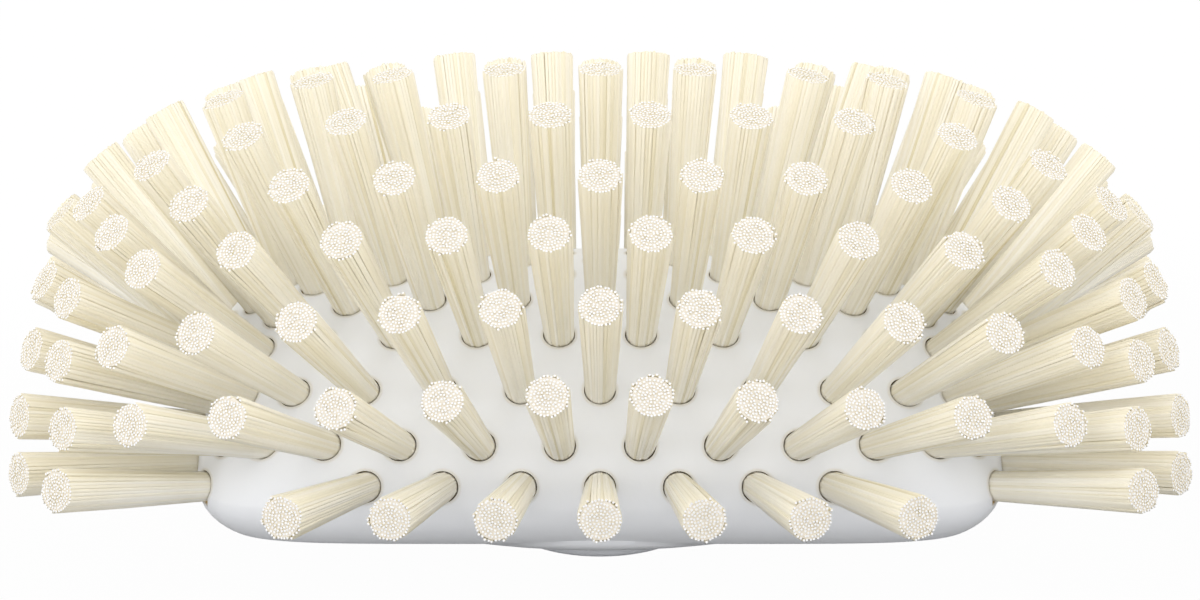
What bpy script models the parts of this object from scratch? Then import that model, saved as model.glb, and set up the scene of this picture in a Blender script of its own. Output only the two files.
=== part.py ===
"""Kettle brush head: a moulded block whose drilled dome holds fanned tufts of bristles.

The frame has its origin at the middle of the boss's flat rim, which the brush stands on.
+X runs along the block, +Z up through the crown, and -Y is the front.
The dome's outer layer is cut into slices, one for each half row of tufts, and each slice
is one body with the strands that stand in it. All sizes are in metres, angles in degrees.
"""

import math
from collections import namedtuple

import bmesh
import bpy
from mathutils import Vector

# The block, measured at its widest line, which runs level all the way round
BLOCK_LENGTH = 0.138
BLOCK_WIDTH = 0.081
DOME_HEIGHT = 0.030           # from the widest line up to the crown
FLANK_DEPTH = 0.008           # from the widest line down to the flat base
FLANK_ROUND = 0.017           # half height of the ellipse that the flank follows
BASE_EDGE = 0.0006            # small bevel round the flat base
SECTION_POWER = 1.7           # 2 is an ellipse, less is leaner across the shoulders
SIDE_POWER = 8                # how square the outline is at the widest line
CROWN_POWER = 3.75            # how square the long profile is along the crown
POWER_FALL = 3                # how soon the first gives way to the second, going up

# The boss below the base, which takes the handle
BOSS_DROP = 0.0105
BOSS_DIAMETER = 0.0346
BOSS_EDGE = 0.0010
FLARE_LENGTH = 0.110          # the oval that the boss flares out to
FLARE_RISE = 0.0016           # how far above the flat base the flare meets the flank
FLARE_MARGIN = 0.0001         # how far its edge stays inside the flank there
SOCKET_DIAMETER = 0.020
SOCKET_DEPTH = 0.026
SOCKET_CHAMFER = 0.001

# The drilled layer that the slices are cut from
LAYER_DEPTH = 0.008
SKIRT_DEPTH = 0.003           # how far below the widest line the layer reaches
SLICE_GAP = 0.0003
SEAT_GAP = 0.0005             # between the slices and the core under them

# The tufts
TUFT_LENGTH = 0.035
ROOT_DIAMETER = 0.0052
TIP_DIAMETER = 0.0074
ROOT_DEPTH = 0.0012           # the full root outline starts this far under the surface
ANCHOR_DEPTH = 0.004          # and narrows down to here
ANCHOR_SHARE = 0.35
STRAND_SLIT = 0.0004          # free width between the two strands of a tuft, at the tip
NEARLY_UPRIGHT = 0.01         # sine of the slope under which a tuft counts as upright

COLUMN_PITCH = 0.0140         # between the columns of tufts on the crown
CLOSING_POWER = 5.9           # how late the columns start to crowd towards the ends
LAST_STATION = 0.945          # no column of a row stands past this share of the half length
FAN_REACH = 0.979             # keeps the lean of the last columns under a quarter turn
DROP_POWER = 1.5              # how late a row starts to lose its lift

# How the tufts of a row slope: lift is their slope seen along the block, drop what they
# lose of it towards the ends, and fan says how soon they lean outwards.
Slope = namedtuple("Slope", "lift drop fan")

# A row lies at one angle round the section, 0 at the widest line and 90 at the crown.
# It slopes one way on the front and, in its twin on the back, another way.
# pitch is a share of the column pitch, offset is 0 or half a column, reach is the last
# station used, and parting is where the end slice takes over.
Row = namedtuple("Row", "angle front back pitch offset reach parting")
SIDE_ROWS = (
    Row(6, Slope(14, 0, 0.55), Slope(12, 0, 0.55), 0.950, 0.0, 0.60, 0.84),
    Row(16, Slope(36, 10, 0.52), Slope(26, 1, 0.52), 0.964, 0.5, LAST_STATION, 0.871),
    Row(31, Slope(45, 8, 0.43), Slope(31, 2, 0.43), 0.957, 0.0, LAST_STATION, 0.82),
    Row(50, Slope(50, 2, 0.42), Slope(33, -8, 0.42), 0.993, 0.5, LAST_STATION, 0.886),
    Row(66, Slope(57, 0, 0.34), Slope(47, -8, 0.31), 1.036, 0.0, LAST_STATION, 0.853),
)
UPPER_ROW = Row(80, Slope(71, 0, 0.36), Slope(61, -6, 0.36), 1.021, 0.5, LAST_STATION, 0.80)
CROWN_ROW = Row(90, Slope(90, 0, 0.32), Slope(90, 0, 0.32), 1.000, 0.0, 0.86, 0.823)

# Tufts that lean further along the block than their row says, or less, in degrees: the key
# is the row's angle, the column on either half, and 1 for the front or -1 for the back
STRAY_LEANS = {
    (50, 5.5, 1): 4,
    (66, 2, -1): 7,
    (66, 4, -1): -3,
    (80, 2.5, -1): 8,
    (90, 2, 1): 4.5,
    (90, 3, 1): -1,
    (90, 4, 1): -2.5,
}

# A tuft that stands by itself on the end. share is its distance from the block's long axis,
# as a share of the middle section's, and lean is its slope along the block.
EndTuft = namedtuple("EndTuft", "share angle lift lean")
END_TUFTS = (
    EndTuft(0.790, 2, 21, 40),
    EndTuft(0.580, 3, 19, 55),
    EndTuft(0.534, 20, 27, 57),
    EndTuft(0.511, 39, 43, 54),
    EndTuft(0.488, 62, 62, 50),
    EndTuft(0.477, 90, 90, 46),
)

# Facets
MERGE_DISTANCE = 0.000001
ROUNDING = 0.000000001
SHARP_ANGLE = 30
STATION_STEPS = 5             # along a half slice
END_STEPS = 4                 # over a rounded end
CORE_STEPS = 24               # along the whole core
FLANK_STEPS = 3               # down the flank
TURN_STEPS = 32               # round the boss and the socket
FLARE_STEPS = 7

# Values that follow from the sizes above
HALF_LENGTH = BLOCK_LENGTH / 2
HALF_WIDTH = BLOCK_WIDTH / 2
BASE_Z = BOSS_DROP
WIDEST_Z = BASE_Z + FLANK_DEPTH

Tuft = namedtuple("Tuft", "root direction")


def clear_scene():
    """Empty the scene, so that only the brush head is in it."""
    for item in list(bpy.data.objects):
        bpy.data.objects.remove(item, do_unlink=True)


def plastic(name, colour, roughness):
    """A plain plastic, as a Principled material."""
    material = bpy.data.materials.new(name)
    material.use_nodes = True
    shader = material.node_tree.nodes["Principled BSDF"]
    shader.inputs["Base Color"].default_value = (*colour, 1.0)
    shader.inputs["Roughness"].default_value = roughness
    shader.inputs["Metallic"].default_value = 0.0
    material.diffuse_color = (*colour, 1.0)
    return material


def add_object(name, mesh, materials):
    """Put a mesh into the scene as one named object."""
    item = bpy.data.objects.new(name, mesh)
    bpy.context.scene.collection.objects.link(item)
    for material in materials:
        mesh.materials.append(material)
    return item


def add_boolean(item, operation, operand):
    """Join or cut an object with a second one, which stays as a hidden guide."""
    operand.hide_render = True
    operand.display_type = "WIRE"
    modifier = item.modifiers.new(operand.name, "BOOLEAN")
    modifier.operation = operation
    modifier.solver = "EXACT"
    modifier.object = operand


def closed_mesh(name, points, faces):
    """A mesh of triangles from points and faces, with doubles merged and faces out."""
    work = bmesh.new()
    corners = [work.verts.new(point) for point in points]
    for face in faces:
        work.faces.new([corners[index] for index in face])
    bmesh.ops.remove_doubles(work, verts=work.verts, dist=MERGE_DISTANCE)
    bmesh.ops.dissolve_degenerate(work, edges=work.edges, dist=MERGE_DISTANCE)
    bmesh.ops.triangulate(work, faces=work.faces)
    bmesh.ops.recalc_face_normals(work, faces=work.faces)
    mesh = bpy.data.meshes.new(name)
    work.to_mesh(mesh)
    work.free()
    return mesh


def shade(mesh):
    """Shade smooth, with the sharp edges kept."""
    mesh.shade_smooth()
    mesh.set_sharp_from_angle(angle=math.radians(SHARP_ANGLE))


def outline_power(angle):
    """How square the block is along a line of the dome, from its side to its crown."""
    left = (1.0 - math.sin(math.radians(angle))) ** POWER_FALL
    return CROWN_POWER + (SIDE_POWER - CROWN_POWER) * left


def shrink(station, angle):
    """The share of the middle section left at a station, from 1 down to 0 at the end."""
    power = outline_power(angle)
    return max(0.0, 1.0 - abs(station) ** power) ** (1.0 / power)


def section_radius(angle, half_width, height):
    """Distance from the block's long axis to the dome, at an angle round the section."""
    across = abs(math.cos(math.radians(angle))) / half_width
    up = abs(math.sin(math.radians(angle))) / height
    return (across ** SECTION_POWER + up ** SECTION_POWER) ** (-1.0 / SECTION_POWER)


def dome_point(station, angle, inset=0.0):
    """A point of the dome, or of the same dome drawn in by an inset."""
    radius = section_radius(angle, HALF_WIDTH - inset, DOME_HEIGHT - inset)
    radius *= shrink(station, angle)
    turn = math.radians(angle)
    return Vector(((HALF_LENGTH - inset) * station,
                   -radius * math.cos(turn),
                   WIDEST_Z + radius * math.sin(turn)))


def flank_inset(depth):
    """How far the flank has drawn in at a depth below the widest line."""
    return HALF_WIDTH * (1.0 - math.sqrt(1.0 - (depth / FLANK_ROUND) ** 2))


def flank_point(station, side, depth, inset):
    """A point below the widest line, where the outline is drawn in all round."""
    return Vector(((HALF_LENGTH - inset) * station,
                   -side * (HALF_WIDTH - inset) * shrink(station, 0),
                   WIDEST_Z - depth))


def station_of(pace):
    """Where a column stands: even steps in the middle, closing up towards the end."""
    return pace / (1.0 + pace ** CLOSING_POWER) ** (1.0 / CLOSING_POWER)


def tuft_direction(lean, lift, end, side):
    """Unit vector of a tuft that leans along the block and is lifted from the level."""
    return Vector((end * math.sin(lean),
                   -side * math.cos(lean) * math.cos(lift),
                   math.cos(lean) * math.sin(lift)))


def column_station(row, column):
    """Where a column of a row stands, as a share of the half length."""
    return station_of(abs(column) * row.pitch * COLUMN_PITCH / HALF_LENGTH)


def row_tuft(row, column, side):
    """The tuft of a row in a column, which is negative on the left half."""
    station = column_station(row, column)
    end = math.copysign(1.0, column)
    reach = station * FAN_REACH
    slope = row.front if side > 0 else row.back
    lean = math.atan(slope.fan * reach / math.sqrt(1.0 - reach * reach))
    lean += math.radians(STRAY_LEANS.get((row.angle, abs(column), side), 0.0))
    lift = math.radians(slope.lift - slope.drop * station ** DROP_POWER)
    root = dome_point(end * station, row.angle)
    root.y *= side
    return Tuft(root, tuft_direction(lean, lift, end, side))


def row_columns(row):
    """All columns of a row, counted from the middle, with those past it on the right."""
    columns = []
    column = row.offset
    while column_station(row, column) < row.reach:
        columns.append(column)
        column += 1
    return [-column for column in reversed(columns) if column > 0] + columns


def row_sides(row):
    """A row has a twin on the back, unless it runs along the crown."""
    return (1, -1) if row.angle < 90 else (1,)


def end_tuft(tuft, end, side):
    """A tuft of the end slice, on the left or right end and on the front or back."""
    power = outline_power(tuft.angle)
    station = (1.0 - tuft.share ** power) ** (1.0 / power)
    root = dome_point(end * station, tuft.angle)
    root.y *= side
    return Tuft(root, tuft_direction(math.radians(tuft.lean), math.radians(tuft.lift), end, side))


def in_half(row, column, half):
    """Whether a column stands on a half slice: the middle tuft goes with the left half."""
    return column_station(row, column) < row.parting and (column <= 0) == (half < 0)


def middle_station(row):
    """The station between the two halves of a row: halfway to the first column on the right."""
    return (0.5 - row.offset) * row.pitch * COLUMN_PITCH / HALF_LENGTH


def strand_corners(half):
    """Corners of one strand, which is the right or the left half of a unit hexagon."""
    turns = [math.radians(60 * corner - (90 if half > 0 else -90)) for corner in range(4)]
    return [Vector((math.cos(turn), math.sin(turn))) for turn in turns]


def strand_rings(tuft, corners):
    """Three rings of a strand: its anchored foot, its root and its free tip."""
    along = tuft.direction
    across = along.cross(Vector((0.0, 0.0, 1.0)))
    if across.length < NEARLY_UPRIGHT:
        across = Vector((1.0, 0.0, 0.0))
    across.normalize()
    upward = across.cross(along)
    middle = sum(corners, Vector((0.0, 0.0))) / len(corners)
    tighten = 1.0 - STRAND_SLIT / TIP_DIAMETER / middle.length
    flat = [middle + (corner - middle) * tighten for corner in corners]
    stops = ((-ANCHOR_DEPTH, ROOT_DIAMETER / 2 * ANCHOR_SHARE),
             (-ROOT_DEPTH, ROOT_DIAMETER / 2),
             (TUFT_LENGTH, TIP_DIAMETER / 2))
    return [[tuft.root + along * reach + (across * corner.x + upward * corner.y) * radius
             for corner in flat] for reach, radius in stops]


def strand_mesh(name, tufts):
    """All strands of some tufts, two to a tuft, as one mesh of separate closed prisms."""
    points, faces = [], []
    for tuft in tufts:
        for half in (1, -1):
            rings = strand_rings(tuft, strand_corners(half))
            first, count = len(points), len(rings[0])
            for ring in rings:
                points.extend(ring)
            for level in (0, 1):
                base = first + level * count
                for k in range(count):
                    after = (k + 1) % count
                    faces.append((base + k, base + after, base + count + after, base + count + k))
            faces.append(tuple(first + k for k in range(count)))
            faces.append(tuple(first + 2 * count + k for k in range(count)))
    mesh = closed_mesh(name, points, faces)
    for face in mesh.polygons:
        face.material_index = 1
    return mesh


def slice_mesh(name, outer, inner, rounded_end):
    """A closed slice between an outer and an inner grid, each a list of lines of points.

    A rounded end has all its lines meet at one pole, so it needs no wall there.
    """
    lines, steps = len(outer), len(outer[0])
    points = [point for grid in (outer, inner) for line in grid for point in line]

    def spot(layer, line, step):
        return (layer * lines + line) * steps + step

    faces = []
    for i in range(lines - 1):
        for j in range(steps - 1):
            for layer in (0, 1):
                faces.append((spot(layer, i, j), spot(layer, i + 1, j),
                              spot(layer, i + 1, j + 1), spot(layer, i, j + 1)))
    for i in range(lines - 1):
        for j in (0,) if rounded_end else (0, steps - 1):
            faces.append((spot(0, i, j), spot(0, i + 1, j), spot(1, i + 1, j), spot(1, i, j)))
    for j in range(steps - 1):
        for i in (0, lines - 1):
            faces.append((spot(0, i, j), spot(0, i, j + 1), spot(1, i, j + 1), spot(1, i, j)))
    return closed_mesh(name, points, faces)


def spread(start, end, steps):
    """Evenly spaced values from start to end."""
    return [start + (end - start) * k / steps for k in range(steps + 1)]


def signed_power(value, power):
    """A power that keeps the sign of its value, and takes a rounding error for nothing."""
    return math.copysign(abs(value) ** power, value) if abs(value) > ROUNDING else 0.0


def stations_between(start, end, angle, steps):
    """Stations spaced by the turn of the outline, so that they gather where it bends."""
    power = outline_power(angle)
    turns = [math.acos(signed_power(station, power / 2)) for station in (start, end)]
    return [signed_power(math.cos(turn), 2 / power) for turn in spread(*turns, steps)]


def parting_at(angle):
    """The station where the end slice starts, read between the rows' own partings."""
    rows = SIDE_ROWS + (UPPER_ROW, CROWN_ROW)
    if angle <= rows[0].angle:
        return rows[0].parting
    for low, high in zip(rows, rows[1:]):
        if angle <= high.angle:
            share = (angle - low.angle) / (high.angle - low.angle)
            return low.parting + (high.parting - low.parting) * share
    return parting_at(180 - angle)


def border(low, high):
    """The angle halfway between two rows, where their slices part."""
    return (low.angle + high.angle) / 2


def border_shift(angle, way):
    """Half a gap, square to the wall between two slices."""
    turn = math.radians(angle)
    return Vector((0.0, math.sin(turn), math.cos(turn))) * (way * SLICE_GAP / 2)


def slice_line(angle, stations, inset, side, way=0):
    """One line of a slice along the dome, drawn back by half a gap where it is a border."""
    line = [dome_point(station, angle, inset) + border_shift(angle, way) for station in stations]
    for point in line:
        point.y *= side
    return line


def foot_line(stations, inset, side):
    """The bottom line of the lowest slices, level below the widest line."""
    drawn_in = flank_inset(SKIRT_DEPTH) if inset == 0 else inset
    return [flank_point(station, side, SKIRT_DEPTH, drawn_in) for station in stations]


def half_slice(name, half, side, rows, low, high):
    """Grids of a half slice that carries some rows between two borders.

    low is None where the slice ends in a foot instead of a border.
    """
    first, last = rows[0], rows[-1]
    knots = [(row.angle, middle_station(row), 0) for row in rows]
    knots.append((high, middle_station(last), -1))
    if low is None:
        knots.insert(0, (0, middle_station(first), 0))
    else:
        knots.insert(0, (low, middle_station(first), 1))
    half_gap = SLICE_GAP / 2 / HALF_LENGTH
    grids = []
    for inset in (0.0, LAYER_DEPTH):
        grid = []
        for angle, middle, way in knots:
            away = parting_at(angle) - half_gap
            start, end = (-away, middle - half_gap) if half < 0 else (middle + half_gap, away)
            stations = stations_between(start, end, angle, STATION_STEPS)
            if low is None and angle == 0:
                grid.append(foot_line(stations, inset, side))
            grid.append(slice_line(angle, stations, inset, side, way))
        grids.append(grid)
    return slice_mesh(name, grids[0], grids[1], rounded_end=False)


def round_angles():
    """Angles from the front's widest line over the crown to the back's, one at each row."""
    quarter = [0] + [row.angle for row in SIDE_ROWS + (UPPER_ROW,)]
    return quarter + [90] + [180 - angle for angle in reversed(quarter)]


def end_stations(angle, end):
    """Stations over a rounded end, from its parting to the pole."""
    start = parting_at(angle) + SLICE_GAP / 2 / HALF_LENGTH
    return stations_between(end * start, end, angle, END_STEPS)


def end_slice(name, end):
    """The slice over one end of the dome, from its front foot to its back foot."""
    angles = round_angles()
    grids = []
    for inset in (0.0, LAYER_DEPTH):
        grid = [foot_line(end_stations(0, end), inset, 1)]
        grid += [slice_line(angle, end_stations(angle, end), inset, 1) for angle in angles]
        grid.append(foot_line(end_stations(0, end), inset, -1))
        grids.append(grid)
    return slice_mesh(name, grids[0], grids[1], rounded_end=True)


def plan_loop(inset, height):
    """A level loop of points round the block, drawn in by an inset."""
    loop = []
    for k in range(2 * CORE_STEPS):
        turn = math.pi * k / CORE_STEPS
        along = signed_power(math.cos(turn), 2 / SIDE_POWER)
        across = signed_power(math.sin(turn), 2 / SIDE_POWER)
        loop.append(Vector(((HALF_LENGTH - inset) * along, (HALF_WIDTH - inset) * across, height)))
    return loop


def core_mesh():
    """The core: a smaller dome, the ledge that the slices stand on, the flank and the base."""
    seat = LAYER_DEPTH + SEAT_GAP
    ledge = SKIRT_DEPTH + SLICE_GAP
    angles = round_angles()
    points, faces = [], []
    for angle in angles:
        for k in range(CORE_STEPS + 1):
            station = signed_power(math.cos(math.pi * k / CORE_STEPS), 2 / SIDE_POWER)
            points.append(dome_point(station, angle, seat))
    steps = CORE_STEPS + 1
    for i in range(len(angles) - 1):
        for j in range(CORE_STEPS):
            faces.append((i * steps + j, i * steps + j + 1, (i + 1) * steps + j + 1, (i + 1) * steps + j))
    loops = [plan_loop(seat, WIDEST_Z), plan_loop(seat, WIDEST_Z - ledge)]
    for depth in spread(ledge, FLANK_DEPTH - BASE_EDGE, FLANK_STEPS):
        loops.append(plan_loop(flank_inset(depth), WIDEST_Z - depth))
    loops.append(plan_loop(flank_inset(FLANK_DEPTH) + BASE_EDGE, BASE_Z))
    count = 2 * CORE_STEPS
    start = len(points)
    for loop in loops:
        points.extend(loop)
    for level in range(len(loops) - 1):
        base = start + level * count
        for k in range(count):
            after = (k + 1) % count
            faces.append((base + k, base + after, base + count + after, base + count + k))
    faces.append(tuple(start + (len(loops) - 1) * count + k for k in range(count)))
    return closed_mesh("brush_block", points, faces)


def ease(share):
    """An S-curve from 0 to 1 that starts and ends level."""
    return share ** 3 * (10 - 15 * share + 6 * share ** 2)


def turned_mesh(name, rings):
    """A closed body from oval rings, each half length, half width and height."""
    points, faces = [], []
    for half_length, half_width, height in rings:
        for k in range(TURN_STEPS):
            turn = 2 * math.pi * k / TURN_STEPS
            points.append(Vector((half_length * math.cos(turn), half_width * math.sin(turn), height)))
    for level in range(len(rings) - 1):
        base = level * TURN_STEPS
        for k in range(TURN_STEPS):
            after = (k + 1) % TURN_STEPS
            faces.append((base + k, base + after, base + TURN_STEPS + after, base + TURN_STEPS + k))
    faces.append(tuple(range(TURN_STEPS)))
    faces.append(tuple(range(len(points) - TURN_STEPS, len(points))))
    return closed_mesh(name, points, faces)


def boss_mesh():
    """The boss: a round neck that flares out to an oval under the block."""
    rim = BOSS_DIAMETER / 2
    top = BOSS_DROP + FLARE_RISE
    flare_width = HALF_WIDTH - flank_inset(FLANK_DEPTH - FLARE_RISE) - FLARE_MARGIN
    rings = [(rim - BOSS_EDGE, rim - BOSS_EDGE, 0.0)]
    for share in spread(0.0, 1.0, FLARE_STEPS):
        rings.append((rim + (FLARE_LENGTH / 2 - rim) * ease(share),
                      rim + (flare_width - rim) * ease(share),
                      BOSS_EDGE + (top - BOSS_EDGE) * share))
    return turned_mesh("boss_flare", rings)


def socket_mesh():
    """The space for the handle: a blind bore with a chamfered mouth."""
    bore = SOCKET_DIAMETER / 2
    mouth = bore + SOCKET_CHAMFER
    below = SOCKET_CHAMFER
    rings = ((mouth + below, mouth + below, -below), (bore, bore, SOCKET_CHAMFER),
             (bore, bore, SOCKET_DEPTH))
    return turned_mesh("socket_space", rings)


def make_block(white):
    """The block's core, with its boss joined on and the handle's socket cut out."""
    block = add_object("brush_block", core_mesh(), [white])
    add_boolean(block, "UNION", add_object("boss_flare", boss_mesh(), [white]))
    add_boolean(block, "DIFFERENCE", add_object("socket_space", socket_mesh(), [white]))
    shade(block.data)
    return block


def make_slice(name, mesh, tufts, materials):
    """One slice of the dome with its strands fused on."""
    item = add_object(name, mesh, materials)
    strands = add_object(name + "_strands", strand_mesh(name + "_strands", tufts), materials)
    add_boolean(item, "UNION", strands)
    shade(mesh)
    print(name, len(tufts), "tufts")
    return len(tufts)


def make_bristles(white, ivory):
    """Every slice with its strands: the side rows, the crown rows and the two ends."""
    materials = [white, ivory]
    rows = SIDE_ROWS + (UPPER_ROW,)
    tuft_count = 0
    for half, hand in ((-1, "left"), (1, "right")):
        for number, row in enumerate(SIDE_ROWS):
            low = None if number == 0 else border(rows[number - 1], row)
            high = border(row, rows[number + 1])
            for side, place in ((1, "front"), (-1, "back")):
                name = f"{place}_row_{number + 1}_{hand}"
                tufts = [row_tuft(row, column, side) for column in row_columns(row)
                         if in_half(row, column, half)]
                mesh = half_slice(name, half, side, [row], low, high)
                tuft_count += make_slice(name, mesh, tufts, materials)
        tuft_count += make_crown(half, hand, materials)
        tuft_count += make_end(half, hand, materials)
    print("tufts in all:", tuft_count, "with two strands each")


def make_crown(half, hand, materials):
    """The crown slice, whose three rows stand too close for slices of their own."""
    low = border(SIDE_ROWS[-1], UPPER_ROW)
    back_row = UPPER_ROW._replace(angle=180 - UPPER_ROW.angle)
    mesh = half_slice(f"crown_rows_{hand}", half, 1, [UPPER_ROW, CROWN_ROW, back_row], low, 180 - low)
    tufts = [row_tuft(row, column, side) for row in (UPPER_ROW, CROWN_ROW)
             for side in row_sides(row) for column in row_columns(row)
             if in_half(row, column, half)]
    return make_slice(f"crown_rows_{hand}", mesh, tufts, materials)


def make_end(end, hand, materials):
    """One end slice, with the last tufts of the rows and the ring round the end."""
    tufts = []
    for row in SIDE_ROWS + (UPPER_ROW, CROWN_ROW):
        for side in row_sides(row):
            for column in row_columns(row):
                if column_station(row, column) > row.parting and column * end > 0:
                    tufts.append(row_tuft(row, column, side))
    for tuft in END_TUFTS:
        tufts += [end_tuft(tuft, end, side) for side in row_sides(tuft)]
    return make_slice(f"end_tufts_{hand}", end_slice(f"end_tufts_{hand}", end), tufts, materials)


def main():
    clear_scene()
    white = plastic("white_plastic", (0.86, 0.86, 0.86), 0.42)
    ivory = plastic("ivory_bristle", (0.86, 0.80, 0.64), 0.50)
    make_block(white)
    make_bristles(white, ivory)


main()
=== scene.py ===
# %% [markdown]
# # A kettle brush head
#
# A kettle brush scrubs the walls of a cooking kettle. Its head is one white moulded block,
# domed on top and flat below, with a short boss that takes a screw-in handle. Its holes are
# drilled into the dome at many angles, and a tuft of stiff ivory bristle is stapled into each.
# The CAD model has the block as one solid and the tufts as coarse strands. This scene puts a
# smooth skin with real holes round the first, and 126 single bristles in place of each tuft's
# strands.

# %% The frame
import math
from collections import namedtuple

import bmesh
import bpy
import numpy as np
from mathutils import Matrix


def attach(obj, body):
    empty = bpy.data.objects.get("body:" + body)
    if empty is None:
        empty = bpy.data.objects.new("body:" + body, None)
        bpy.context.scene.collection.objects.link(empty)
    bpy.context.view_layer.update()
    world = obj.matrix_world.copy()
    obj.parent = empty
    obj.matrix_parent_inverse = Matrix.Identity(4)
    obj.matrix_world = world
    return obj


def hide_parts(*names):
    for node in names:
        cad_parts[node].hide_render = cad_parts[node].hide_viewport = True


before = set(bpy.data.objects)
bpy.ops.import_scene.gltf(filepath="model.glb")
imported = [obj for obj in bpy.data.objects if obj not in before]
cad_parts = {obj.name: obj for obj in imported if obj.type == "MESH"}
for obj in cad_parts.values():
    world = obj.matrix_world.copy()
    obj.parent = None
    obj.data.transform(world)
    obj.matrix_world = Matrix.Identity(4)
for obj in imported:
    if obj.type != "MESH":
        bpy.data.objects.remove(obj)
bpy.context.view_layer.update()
MM = 0.001

# %% [markdown]
# ## The dome
#
# Every tuft stands on the dome, so its formula comes first. Seen from above, from the front
# and from the end, the block is a rounded rectangle somewhere between an ellipse and a box.
# Superellipses give such outlines with one power each: 2 is an ellipse and 8 is nearly a box.
# A few loops under a Subdivision modifier could look much the same, but a formula also says
# exactly where the surface is, and that is what places the holes. A spot on the dome has a
# station, from -1 at the left end to 1 at the right, and an angle, from 0 at the front's widest
# line over 90 at the crown to 180 at the back.

# %% The dome's sizes and formula
HALF_LENGTH = 69 * MM
HALF_WIDTH = 40.5 * MM
DOME_HEIGHT = 30 * MM
FLANK_DEPTH = 8 * MM
BOSS_DROP = 10.5 * MM
WIDEST_Z = BOSS_DROP + FLANK_DEPTH
SECTION_POWER = 1.7
SIDE_POWER = 8
CROWN_POWER = 3.75
POWER_FALL = 3


def outline_power(angle):
    """How square the block is along an angle: the side power at 0 degrees, the crown's at 90."""
    left = (1 - np.abs(np.sin(np.radians(angle)))) ** POWER_FALL
    return CROWN_POWER + (SIDE_POWER - CROWN_POWER) * left


def dome_spot(station, share, angle):
    """A point of the dome, from its station and the share of the middle section left there.

    The middle section is a superellipse of the section power, as wide as the block and as
    high as the dome.
    """
    turn = np.radians(angle)
    across = (np.abs(np.cos(turn)) / HALF_WIDTH) ** SECTION_POWER
    up = (np.abs(np.sin(turn)) / DOME_HEIGHT) ** SECTION_POWER
    radius = share * (across + up) ** (-1 / SECTION_POWER)
    return np.stack(np.broadcast_arrays(HALF_LENGTH * station, -radius * np.cos(turn),
                                        WIDEST_Z + radius * np.sin(turn)), axis=-1)


def dome(station, angle):
    """A point of the dome: there station ** power + share ** power = 1."""
    power = outline_power(angle)
    return dome_spot(station, np.maximum(0, 1 - np.abs(station) ** power) ** (1 / power), angle)


def dome_line(heading, angle):
    """The same surface in polar form, from heading 0 at the right end to pi at the left."""
    power = outline_power(angle)
    reach = (np.abs(np.cos(heading)) ** power + np.abs(np.sin(heading)) ** power) ** (-1 / power)
    return dome_spot(reach * np.cos(heading), reach * np.sin(heading), angle)


print("crown at", dome(0, 90), "front at", dome(0, 0))

# %% [markdown]
# ## Where the tufts stand
#
# The holes are drilled in rows along the block. In each row the tufts fan out: the one in the
# middle points straight ahead, and they lean more and more towards the ends. The rows fan out
# too, from nearly level at the bottom to upright along the crown. They could be placed one by
# one, but a rule with a few numbers for each row is shorter and follows the block when one of
# its sizes changes. Only the ring of tufts round the ends is placed singly, and a few tufts
# lean a little off the rule, as the photograph shows.

# %% The table of rows
COLUMN_PITCH = 14 * MM
LAST_STATION = 0.945

Slope = namedtuple("Slope", "lift drop fan")
Row = namedtuple("Row", "angle front back pitch offset reach parting")
SIDE_ROWS = (
    Row(6, Slope(14, 0, 0.55), Slope(12, 0, 0.55), 0.950, 0.0, 0.60, 0.84),
    Row(16, Slope(36, 10, 0.52), Slope(26, 1, 0.52), 0.964, 0.5, LAST_STATION, 0.871),
    Row(31, Slope(45, 8, 0.43), Slope(31, 2, 0.43), 0.957, 0.0, LAST_STATION, 0.82),
    Row(50, Slope(50, 2, 0.42), Slope(33, -8, 0.42), 0.993, 0.5, LAST_STATION, 0.886),
    Row(66, Slope(57, 0, 0.34), Slope(47, -8, 0.31), 1.036, 0.0, LAST_STATION, 0.853),
)
UPPER_ROW = Row(80, Slope(71, 0, 0.36), Slope(61, -6, 0.36), 1.021, 0.5, LAST_STATION, 0.80)
CROWN_ROW = Row(90, Slope(90, 0, 0.32), Slope(90, 0, 0.32), 1.000, 0.0, 0.86, 0.823)
STRAY_LEANS = {(50, 5.5, 1): 4, (66, 2, -1): 7, (66, 4, -1): -3, (80, 2.5, -1): 8,
               (90, 2, 1): 4.5, (90, 3, 1): -1, (90, 4, 1): -2.5}
EndTuft = namedtuple("EndTuft", "share angle lift lean")
END_TUFTS = (EndTuft(0.790, 2, 21, 40), EndTuft(0.580, 3, 19, 55), EndTuft(0.534, 20, 27, 57),
             EndTuft(0.511, 39, 43, 54), EndTuft(0.488, 62, 62, 50), EndTuft(0.477, 90, 90, 46))
print(2 * len(SIDE_ROWS) + 3, "rows")

# %% [markdown]
# The table is turned into tufts one row at a time. Real tufts can't stand past the block's
# ends, so a row's even steps close up there, and the tufts of its ends lean out the most.

# %% One tuft and one row
CLOSING_POWER = 5.9
FAN_REACH = 0.979
DROP_POWER = 1.5


def tuft(node, station, angle, lift, lean, side):
    """A tuft's CAD node, the middle of its hole and the way it points.

    It leans along the block by the lean, and what is left of it is lifted from the level.
    """
    lean, lift = math.radians(lean), math.radians(lift)
    end = math.copysign(1, station)
    root = dome(station, angle) * (1, side, 1)
    way = np.array((end * math.sin(lean), -side * math.cos(lean) * math.cos(lift),
                    math.cos(lean) * math.sin(lift)))
    return node, root, way


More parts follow.
